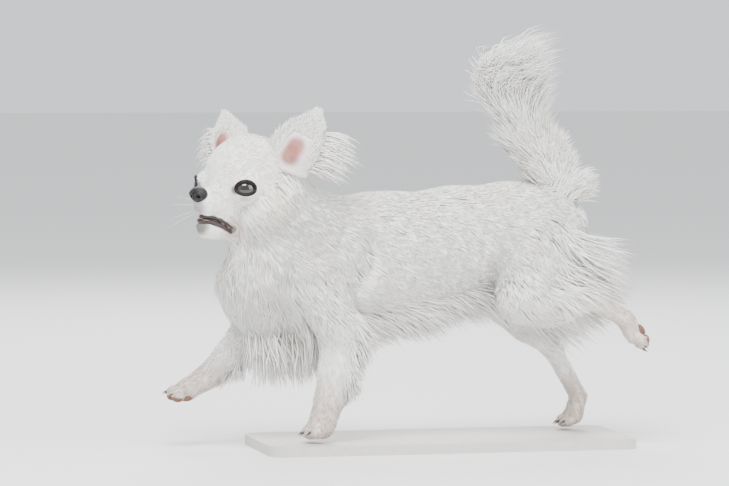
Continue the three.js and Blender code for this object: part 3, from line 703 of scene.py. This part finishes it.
EAR_WIDE = 43.0
EAR_CUP = 13.0
EAR_HALF_THICK = 0.8
EAR_ROOT = -0.12
EARS = {
    1: dict(long=48.0, turned=0.5, base=(-15.0, 29, 15.0), axis=(-8, 21, 49.0)),
    -1: dict(long=42.0, turned=0.08, base=(-11.0, -29, 15.0), axis=(-8, -29, 46.0)),
}
EAR_BREADTH = ((0, 0.82), (0.17, 1), (0.34, 0.96), (0.55, 0.77), (0.78, 0.44), (0.93, 0.18), (1, 0.03))


def ear_blade(side, t, s, depth):
    """Points of one ear: t from base to tip, s from the outer edge to the inner, depth to the back."""
    ear = EARS[side]
    axis = np.array(ear["axis"])
    axis /= np.linalg.norm(axis)
    across = np.array([ear["turned"], -side * math.sqrt(1 - ear["turned"] ** 2), 0.3])
    across /= np.linalg.norm(across)
    outside = np.cross(across, axis) * side
    outside /= np.linalg.norm(outside)
    w = np.interp(t, *zip(*EAR_BREADTH))
    cup = EAR_CUP * w * (1 - 0.45 * t)
    p = np.array(ear["base"]) + np.outer(ear["long"] * t, axis) + np.outer(EAR_WIDE / 2 * w * s, across)
    p += np.outer(depth - cup * (1 - s**2), outside)
    return on_head(p), toward(outside), toward(across), toward(axis)


ROSE_PALE = (0.36, 0.12, 0.1, 1)
ROSE_DARK = (0.24, 0.07, 0.055, 1)
EAR_WHITE = (0.84, 0.8, 0.76, 1)
EAR_WARM = (0.86, 0.76, 0.72, 1)
ear_finish = Finish("ear_skin", Roughness=0.65)
rose = ear_finish.noise(140.0, 4.0).ramp(0.35, 0.7).tint(ROSE_PALE, ROSE_DARK)
ear_colour = ear_finish.noise(60.0).tint(EAR_WHITE, EAR_WARM)
for side in EARS:
    for t in (0.16, 0.34):
        hollow = ear_blade(side, np.array([t]), np.zeros(1), np.zeros(1))[0]
        ear_colour = (ear_finish.near(scene_point(hollow), 0.0115) * 0.9).tint(ear_colour, rose)
ear_finish.feed(Base_Color=ear_colour)
ear_finish.bump(ear_finish.noise(500.0), 0.0004, 0.5)
ROWS, COLUMNS = 22, 16
for side in EARS:
    t = np.repeat(np.linspace(EAR_ROOT, 1.0, ROWS), 2 * COLUMNS)
    edge_to_edge = np.linspace(-1, 1, COLUMNS)
    s = np.tile(np.concatenate([edge_to_edge, edge_to_edge[::-1]]), ROWS)
    depth = np.tile(np.repeat([-EAR_HALF_THICK, EAR_HALF_THICK], COLUMNS), ROWS)
    verts, *_ = ear_blade(side, t, s, depth)
    round_once = 2 * COLUMNS
    faces = []
    for i in range(ROWS - 1):
        faces += band(i * round_once, round_once, turned=True)
    faces += [tuple(range(round_once))[::-1], tuple(range((ROWS - 1) * round_once, ROWS * round_once))]
    ear = settle(mesh_object(f"ear_shell_{SIDE_NAMES[side]}", verts, faces, ear_finish.material))
    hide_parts(f"ear_{SIDE_NAMES[side]}")

# Paws: four toes on each, with a dark horn claw growing from the end of every toe.
# The two lifted paws show rough brown pads under the toes and the heel.

LIFTED = ("front_right", "hind_left")
CLAW_LONG = 4.6
CLAW_HOOK = 2.6
CLAW_THICK = (1.15, 0.12)
HEEL_HALF = [7.4, 5.6, 3.6]
CLAW_PALE = (0.09, 0.065, 0.05, 1)
CLAW_DARK = (0.03, 0.022, 0.018, 1)
PAD_DARK = (0.1, 0.045, 0.032, 1)
PAD_PALE = (0.2, 0.095, 0.06, 1)
claw_finish = Finish("claws", Roughness=0.35)
claw_finish.feed(Base_Color=claw_finish.noise(300.0).tint(CLAW_PALE, CLAW_DARK))
pad_finish = Finish("pads", Roughness=0.8)
pad_grain = pad_finish.noise(700.0, 3.0)
pad_finish.feed(Base_Color=pad_grain.ramp(0.3, 0.7).tint(PAD_DARK, PAD_PALE)).bump(pad_grain, 0.0007, 0.8)
for name in LEGS:
    for number, (at, reach, across, sole, radius) in enumerate(toe_balls(name)):
        root = at + reach * radius * 0.75 - sole * radius * 0.1
        bend = np.linspace(0, 1, 7)[:, None]
        claw = root + reach * CLAW_LONG * bend + sole * CLAW_HOOK * bend**2
        girth = np.linspace(*CLAW_THICK, 7)
        tube(f"claw_{name}_{number}", claw, girth, claw_finish.material, 8)
        if name in LIFTED:
            under = at + sole * radius * 0.55
            half = [radius * 0.72, radius * 0.86, radius * 0.62]
            axes = [across, reach, sole]
            ball(f"pad_{name}_{number}", under, axes, half, pad_finish.material, 14, 20)
    if name in LIFTED:
        heel = np.array(LEGS[name][-1][:3]) + sole * radius * 1.25 - reach
        axes = [across, reach, sole]
        ball(f"pad_{name}_heel", heel, axes, HEEL_HALF, pad_finish.material, 18, 24)

# Coat: long fine white hair in thin tufts, rooted in the skin and laid along the body.
# It is shortest on the face and feet, and longest on the breast, belly, breeches, ears and tail.

HAIR_WHITE = (0.95, 0.94, 0.915, 1)
HAIR_CREAM = (0.88, 0.83, 0.74, 1)
HAIR_ROOT_SHADE = (0.74, 0.67, 0.58, 1)
rng = np.random.default_rng(7)
share = 1.0
coat_finish = Finish("long_coat", Roughness=0.55, Sheen_Weight=0.25, Sheen_Roughness=0.4)
tone_and_root_shade = coat_finish.attribute("tone_and_root_shade")
coat_base = coat_colour(coat_finish, HAIR_WHITE, HAIR_CREAM)
# Tufts differ in tone at random, and each is also darker towards its root: painted shade deep in the coat.
coat_finish.feed(Base_Color=(tone_and_root_shade * 0.24).tint(coat_base, HAIR_ROOT_SHADE))


def unit(v):
    """Rows made 1 long."""
    return v / np.maximum(np.linalg.norm(v, axis=1, keepdims=True), 1e-9)


def ease(x, low, high):
    """0 up to the low value, 1 from the high one, and smooth between them."""
    t = np.clip((x - low) / (high - low), 0, 1)
    return t * t * (3 - 2 * t)


def blend(first, second, weight):
    """Rows that go from first, where the weight is 0, to second, where it is 1."""
    return first * (1 - weight[:, None]) + weight[:, None] * np.array(second)


def sprinkle(surface, count):
    """Random roots over a surface, by area, with the faces' normals."""
    corners, triangles = surface
    a, b, c = (corners[triangles[:, k]] for k in range(3))
    cross = np.cross(b - a, c - a)
    area = np.linalg.norm(cross, axis=1)
    pick = rng.choice(len(area), count, p=area / area.sum())
    u, v = rng.random((2, count, 1))
    over = (u + v) > 1
    u, v = np.where(over, 1 - u, u), np.where(over, 1 - v, v)
    return a[pick] + (b[pick] - a[pick]) * u + (c[pick] - a[pick]) * v, unit(cross[pick])


def nearest_on(points, joints):
    """Place along a line of joints from 0 to 1, and the line's direction there."""
    best = np.full(len(points), 1e9)
    place = np.zeros(len(points))
    heading = np.zeros((len(points), 3))
    line = np.array([joint[:3] for joint in joints], float)
    for i, (a, b) in enumerate(zip(line, line[1:])):
        d = b - a
        t = np.clip((points - a) @ d / (d @ d), 0, 1)
        away = np.linalg.norm(points - a - t[:, None] * d, axis=1)
        near = away < best
        best[near], place[near] = away[near], (i + t[near]) / (len(line) - 1)
        heading[near] = d / np.linalg.norm(d)
    return place, heading


# Each of the next functions combs one region. For hair rooted at p with the skin's normal n it gives
# the lie, the length, the height over the skin, how free it hangs from 0 to 1, and its curl.


def comb_face(p, n):
    f, l, z = ((p - HEAD_AT) @ HEAD_AXES).T
    lie = unit(np.stack([f, l, z], 1) - np.array([52.0, 0, -12]))
    lie[:, 2] -= 0.15
    nape = ease(-f, -16, 32)
    cheek = nape * ease(-z, 2, 30)
    length = np.where(f > 30, 2.6, 4.5 + 7 * nape + 15 * cheek)
    to_eye = np.min([np.linalg.norm(p - at, axis=1) for at in EYES.values()], axis=0)
    length *= 0.55 + 0.45 * ease(to_eye, 11, 20)
    length += 4 * ease(-z, 46, 54) * ease(f, 10, 30)
    return lie @ HEAD_AXES.T, length, 0.9 + 2.2 * nape + 3.0 * cheek, 0.25 * cheek, np.zeros_like(p)


def comb_ruff(p, n):
    bib = ease(-p[:, 0], 118, 160) * ease(-p[:, 2], -186, -146)
    lie = blend(np.array([0.72, 0, -0.7]) + 0.25 * n * [1, 1, 0], (0.12, 0, -1), bib)
    return lie, 32 + 8 * bib, 8.5 + 9 * bib, np.full(len(p), 0.25), np.zeros_like(p)


def comb_plume(p, n):
    place, ahead = nearest_on(p, TAIL)
    out = n - ahead * np.sum(n * ahead, axis=1, keepdims=True)
    rear = (1 + n[:, 0]) / 2
    fan = ease(place, 0.5, 0.9)
    lie = ahead + out * (0.35 + 0.5 * rear * (1 - fan) + 0.45 * fan)[:, None]
    length = 21 + 11 * ease(place, 0.1, 0.6) + (8 * ease(place, 0.2, 0.6) + 14 * fan) * rear + 4 * fan
    curl = np.outer(fan, (1.3, 0, -0.5)) + np.outer((1 - fan) * rear, (0.25, 0, -0.5))
    return lie, length, np.full(len(p), 9.0), 0.72 + 0.2 * fan, curl


def comb_leg(name, p, n):
    place, ahead = nearest_on(p, LEGS[name])
    rear = ease(n[:, 0], 0.05, 0.7)
    top = 1 - ease(place, 0.1, 0.55)
    lie = blend(ahead + np.array([0.25, 0, -0.1]), (0.62, 0, -0.78), top)
    length = 4.2 + 17 * top
    rise = 0.9 + 4.5 * top
    free = 0.1 * top
    if name.startswith("front"):
        feather = rear * ease(place, 0.2, 0.4) * (1 - ease(place, 0.62, 0.84))
        lie = lie + np.outer(feather, (0.6, 0, 0))
        return lie, length + 15 * feather, rise, free + 0.6 * feather, np.zeros_like(p)
    breech = rear * (1 - ease(place, 0.3, 0.5))
    lie = blend(lie, (0.9, 0, -0.46), breech)
    return lie, length + 38 * breech, rise + 4 * breech, free + 0.68 * breech, np.zeros_like(p)


def comb_trunk(p, n):
    flank = np.abs(n[:, 1])
    belly = ease(-n[:, 2], 0.45, 0.9)
    breast = ease(-p[:, 0], 88, 128)
    lie = np.stack([np.ones(len(p)), np.zeros(len(p)), -0.12 - 0.5 * flank], 1)
    lie = blend(lie, (0.75, 0, -0.66), belly)
    lie = blend(lie, (0.18, 0, -1), breast)
    lie = blend(lie, (0.5, 0, -0.9), ease(p[:, 0], 84, 104))
    length = 19 + 7 * flank + 16 * belly + 14 * breast
    rise = 5.2 + 2 * flank + 9 * breast
    return lie, length, rise, np.maximum(0.78 * belly, 0.3 * breast), np.zeros_like(p)


def combed(region, p, n):
    """The hair of one region of the body."""
    if region in LEGS:
        return comb_leg(region, p, n)
    return dict(neck=comb_ruff, tail=comb_plume, trunk=comb_trunk)[region](p, n)


STEPS = 4
ROOT_DEPTH = 0.8
TUFT_CORNERS = 11
TUFT_RINGS = ((1, 0.85), (2, 1.0), (3, 0.66))
TUFT_THICK = 0.55
UV_PATCH = 0.003
# How strongly each ring of a tuft takes the darker colour, from the root to the tip: painted shade deep in
# the coat.
ROOT_PAINTED_SHADE = np.array([1.0] + [0.8] * 3 + [0.45] * 3 + [0.2] * 3 + [0.1])
PATCH = np.array([(0.5, 0)] + [(x, y) for y in (0.3, 0.6, 0.85) for x in (0.1, 0.5, 0.9)] + [(0.5, 1)])


def tuft_faces():
    """Triangles of one closed tuft: a point at the root, three rings of three corners and a tip."""
    faces = [(0, 2, 1), (0, 3, 2), (0, 1, 3)]
    for ring in (1, 4):
        for j in range(3):
            a, b = ring + j, ring + (j + 1) % 3
            faces += [(a, b, b + 3), (a, b + 3, a + 3)]
    return np.array(faces + [(7, 8, 10), (8, 9, 10), (9, 7, 10)])


def tuft_paths(p, n, lie, length, rise, free, curl, field, wave):
    """Points along every tuft, from under the skin to the tip."""
    lie = unit(unit(lie) + rng.normal(0, 0.12, p.shape))
    length = length * rng.uniform(0.7, 1.2, len(p))
    clump = np.sin(p @ np.array([0.31, 0.23, 0.27])) * 0.32 * wave
    swing = rng.uniform(0, 2 * math.pi, len(p))
    hold = ((1 - free) ** 3)[:, None]
    path = [p - n * ROOT_DEPTH]
    here = p.copy()
    normal = n
    for i in range(1, STEPS + 1):
        t = i / STEPS
        heading = lie + curl * t**2
        heading -= normal * np.sum(heading * normal, axis=1, keepdims=True) * (1 - free)[:, None]
        sideways = unit(np.cross(heading, normal))
        heading = unit(heading) + sideways * (clump + 0.18 * wave * np.sin(swing + 4 * t))[:, None]
        here = here + unit(heading) * (length / STEPS)[:, None]
        value, normal = uphill(field, here)
        lifted = (rise * math.sqrt(t) * 0.9 - value)[:, None] * hold
        kept_out = np.maximum(0.6 * rise * t - value, 0)[:, None] * (1 - hold)
        here = here + normal * (lifted + kept_out)
        path.append(here.copy())
    return np.array(path)


def tufts(name, p, n, comb, width, field, place, wave):
    """A coat piece of closed three-sided tufts, with their random tone, painted shade towards the roots,
    and their place on the bake map.
    """
    count = len(p)
    path = tuft_paths(p, n, *comb, field, wave)
    side = unit(np.cross(path[1] - path[0], n))
    side = unit(side + n * rng.normal(0, 0.45, (count, 1)))
    verts = [path[0]]
    for i, wide in TUFT_RINGS:
        ahead = unit(path[i + 1] - path[i - 1])
        side = unit(side - ahead * np.sum(side * ahead, axis=1, keepdims=True))
        up = np.cross(side, ahead)
        w = (width * wide * 0.5)[:, None]
        verts += [path[i] + side * w, path[i] + up * w * TUFT_THICK, path[i] - side * w]
    verts = np.stack([*verts, path[STEPS]], 1)
    first = np.arange(count) * TUFT_CORNERS
    triangles = (tuft_faces()[None] + first[:, None, None]).reshape(-1, 3)
    mesh = bpy.data.meshes.new(name)
    mesh.vertices.add(count * TUFT_CORNERS)
    mesh.vertices.foreach_set("co", verts.reshape(-1, 3).ravel())
    mesh.loops.add(len(triangles) * 3)
    mesh.loops.foreach_set("vertex_index", triangles.ravel().astype(np.int32))
    mesh.polygons.add(len(triangles))
    mesh.polygons.foreach_set("loop_start", np.arange(0, len(triangles) * 3, 3, dtype=np.int32))
    mesh.update(calc_edges=True)
    mesh.shade_smooth()
    value = np.clip(rng.normal(0.25, 0.22, count), 0, 1)
    shade = mesh.attributes.new("tone_and_root_shade", "FLOAT", "POINT")
    # The random tone of each tuft, made stronger towards its root as painted shade deep in the coat.
    shade.data.foreach_set("value", np.outer(value, 0.35 + 0.65 * ROOT_PAINTED_SHADE).ravel().astype(np.float32))
    uv = (place[:, None, :] * (1 - 2 * UV_PATCH) + PATCH[None] * UV_PATCH).reshape(-1, 2)
    layer = mesh.uv_layers.new(name="OFBake")
    layer.data.foreach_set("uv", uv[triangles.ravel()].astype(np.float32).ravel())
    made = bpy.data.objects.new(name, mesh)
    bpy.context.scene.collection.objects.link(made)
    mesh.materials.append(coat_finish.material)
    settle(made)


def unwrap(p, low, high):
    """Place of roots on a tube about the dog's length, from 0 to 1 along it and round it."""
    along = (p[:, 0] - low) / (high - low)
    angle = np.arctan2(p[:, 1], p[:, 2] - np.interp(p[:, 0], (-150, 90), (130, 165)))
    return np.clip(np.stack([along, angle / (2 * math.pi) + 0.5], 1), 0, 1)


STRAND = dict(neck=1.5, tail=1.5, trunk=1.6)
BODY_ROOTS = int(90000 * share)
SHOULDER, WAIST = -70, 10
COATS = [
    ("trunk", "coat_forequarters", -math.inf, SHOULDER, 9500),
    ("trunk", "coat_ribs", SHOULDER, WAIST, 9500),
    ("trunk", "coat_loins", WAIST, math.inf, 9500),
    ("neck", "coat_ruff", -math.inf, math.inf, 9000),
    ("tail", "coat_plume", -math.inf, math.inf, 10000),
    *[(leg, f"coat_{leg}", -math.inf, math.inf, 4500) for leg in LEGS],
]
UNDER_HEAD = -7
BODY_SPAN = (-240, 190)
FACE_SPAN = (-240, -90)
roots, normals = sprinkle(body_surface, BODY_ROOTS)
regions = ["trunk", "neck", "tail", *LEGS]
nearness = np.stack([group_field(name, roots) for name in regions], 1)
outside_head = head_field(roots) > UNDER_HEAD
owner = np.argmin(nearness + rng.normal(0, 0.8, nearness.shape), axis=1)
for region, name, low, high, most in COATS:
    within = (roots[:, 0] >= low) & (roots[:, 0] < high)
    chosen = np.flatnonzero((owner == regions.index(region)) & within & outside_head)
    most = int(most * share)
    chosen = rng.choice(chosen, most) if len(chosen) < most else rng.permutation(chosen)[:most]
    p = roots[chosen] + rng.normal(0, 0.4, (len(chosen), 3))
    n = normals[chosen]
    comb = combed(region, p, n)
    varied = rng.uniform(0.7, 1.25, len(p))
    if region in LEGS:
        width = 0.75 + 0.75 * ease(comb[1], 6, 22)
    else:
        width = STRAND[region] * (0.55 + 0.45 * ease(comb[1], 5, 25)) * varied
    tufts(name, p, n, comb, width, body_field, unwrap(p, *BODY_SPAN), 0.5)

FACE_ROOTS = int(16000 * share)
FACE_TUFTS = int(9500 * share)
NOSE_CLEAR = 9.0
EYE_CLEAR = 1.22
LIP_CLEAR = 5.4
p, n = sprinkle(head_surface, FACE_ROOTS)
clear = np.linalg.norm(p - NOSE_AT, axis=1) > NOSE_CLEAR
for side in EYES:
    out, oval = opening(side, p)
    clear &= (oval > EYE_CLEAR) | (out < 0)
from_lips = np.linalg.norm(p[:, None] - lip_line[None, ::3] + [0, 0, -0.6], axis=2)
clear &= np.min(from_lips, axis=1) > LIP_CLEAR
p, n = p[clear][:FACE_TUFTS], n[clear][:FACE_TUFTS]
comb = comb_face(p, n)
width = (0.55 + 0.9 * ease(comb[1], 5, 22)) * rng.uniform(0.7, 1.2, len(p))
tufts("coat_head", p, n, comb, width, head_field, unwrap(p, *FACE_SPAN), 0.08)

EAR_TUFTS = int(4200 * share)
FRINGE = (14, 33)


def over_ear(q):
    """Height over the face of the ear, for the tufts rooted at p with the normals n."""
    return np.sum((q - p) * n, axis=1)


for side in EARS:
    t = rng.uniform(0, 0.98, EAR_TUFTS)
    s = rng.uniform(-1, 1, EAR_TUFTS)
    inner = rng.random(EAR_TUFTS) < 0.42
    edge = inner & (t < 0.52)
    s[edge] = np.where(rng.random(edge.sum()) < 0.5, -1, 1) * rng.uniform(0.5, 1, edge.sum())
    p, outside, across, axis = ear_blade(side, t, s, np.where(inner, -EAR_HALF_THICK, EAR_HALF_THICK))
    n = unit(np.where(inner[:, None], -outside, outside) + np.outer(s * 0.6, across))
    lie = axis + 0.25 * np.outer(s, across)
    length = (4.5 + 2.5 * rng.random(EAR_TUFTS)) * (1 - 0.45 * ease(t, 0.35, 0.9))
    fringe = (s < -0.8) & (t < 0.7) & (rng.random(EAR_TUFTS) < 0.8)
    lie[fringe] = (-0.85 * across + 0.35 * axis - 0.15 * toward((1, 0, 0)))[None]
    length[fringe] = rng.uniform(*FRINGE, fringe.sum())
    length[inner & ~fringe] *= 1.25
    free = np.where(fringe, 0.98, 0.8)
    comb = (lie, length, np.ones(EAR_TUFTS), free, np.outer(fringe, (0.3, 0, -0.9)))
    width = np.where(fringe, 1.0, 0.75) * rng.uniform(0.7, 1.2, EAR_TUFTS)
    place = np.clip(np.stack([t, (s + 1) / 4 + 0.5 * inner], 1), 0, 1)
    tufts(f"coat_ear_{SIDE_NAMES[side]}", p, n, comb, width, over_ear, place, 0.2)

# Studio: a plain pale floor, soft light from above and from both sides, and a long lens.
# The camera stands low on the dog's left, a little before it.

FLOOR_HALF = 20
LAMPS = (
    ("key", (-0.5, -1.1, 1.9), 1.2, 90.0),
    ("fill", (1.4, -1.3, 0.9), 1.4, 28.0),
    ("back", (0.2, 1.6, 1.5), 1.2, 42.0),
)
LIT_POINT = Vector((-0.03, 0, 0.17))
CAMERA_FROM = Vector((-0.73606, -2.91974, 0.300 + BASE_TOP))
CAMERA_AT = Vector((-0.06199, 0, 0.156 + BASE_TOP))


def aim(made, at, target):
    """Puts a lamp or camera in its place, pointing at the target."""
    made.location = at
    made.rotation_euler = (target - Vector(at)).to_track_quat("-Z", "Y").to_euler()
    bpy.context.scene.collection.objects.link(made)


floor_finish = Finish("floor", Base_Color=(0.84, 0.84, 0.83, 1), Roughness=0.9)
floor_corners = [(x * FLOOR_HALF, y * FLOOR_HALF, 0) for x, y in ((-1, -1), (1, -1), (1, 1), (-1, 1))]
mesh_object("floor", floor_corners, [(0, 1, 2, 3)], floor_finish.material)
world = bpy.data.worlds.new("studio")
bpy.context.scene.world = world
world.use_nodes = True
backdrop = world.node_tree.nodes["Background"].inputs
backdrop["Color"].default_value = (0.9, 0.92, 0.95, 1)
backdrop["Strength"].default_value = 1.2
for name, at, size, power in LAMPS:
    lamp = bpy.data.lights.new(name, "AREA")
    lamp.size = size
    lamp.energy = power
    aim(bpy.data.objects.new(name, lamp), at, LIT_POINT)
lens = bpy.data.cameras.new("camera")
lens.lens = 185.2
lens.sensor_width = 36.0
camera = bpy.data.objects.new("camera", lens)
aim(camera, CAMERA_FROM, CAMERA_AT)
bpy.context.scene.camera = camera
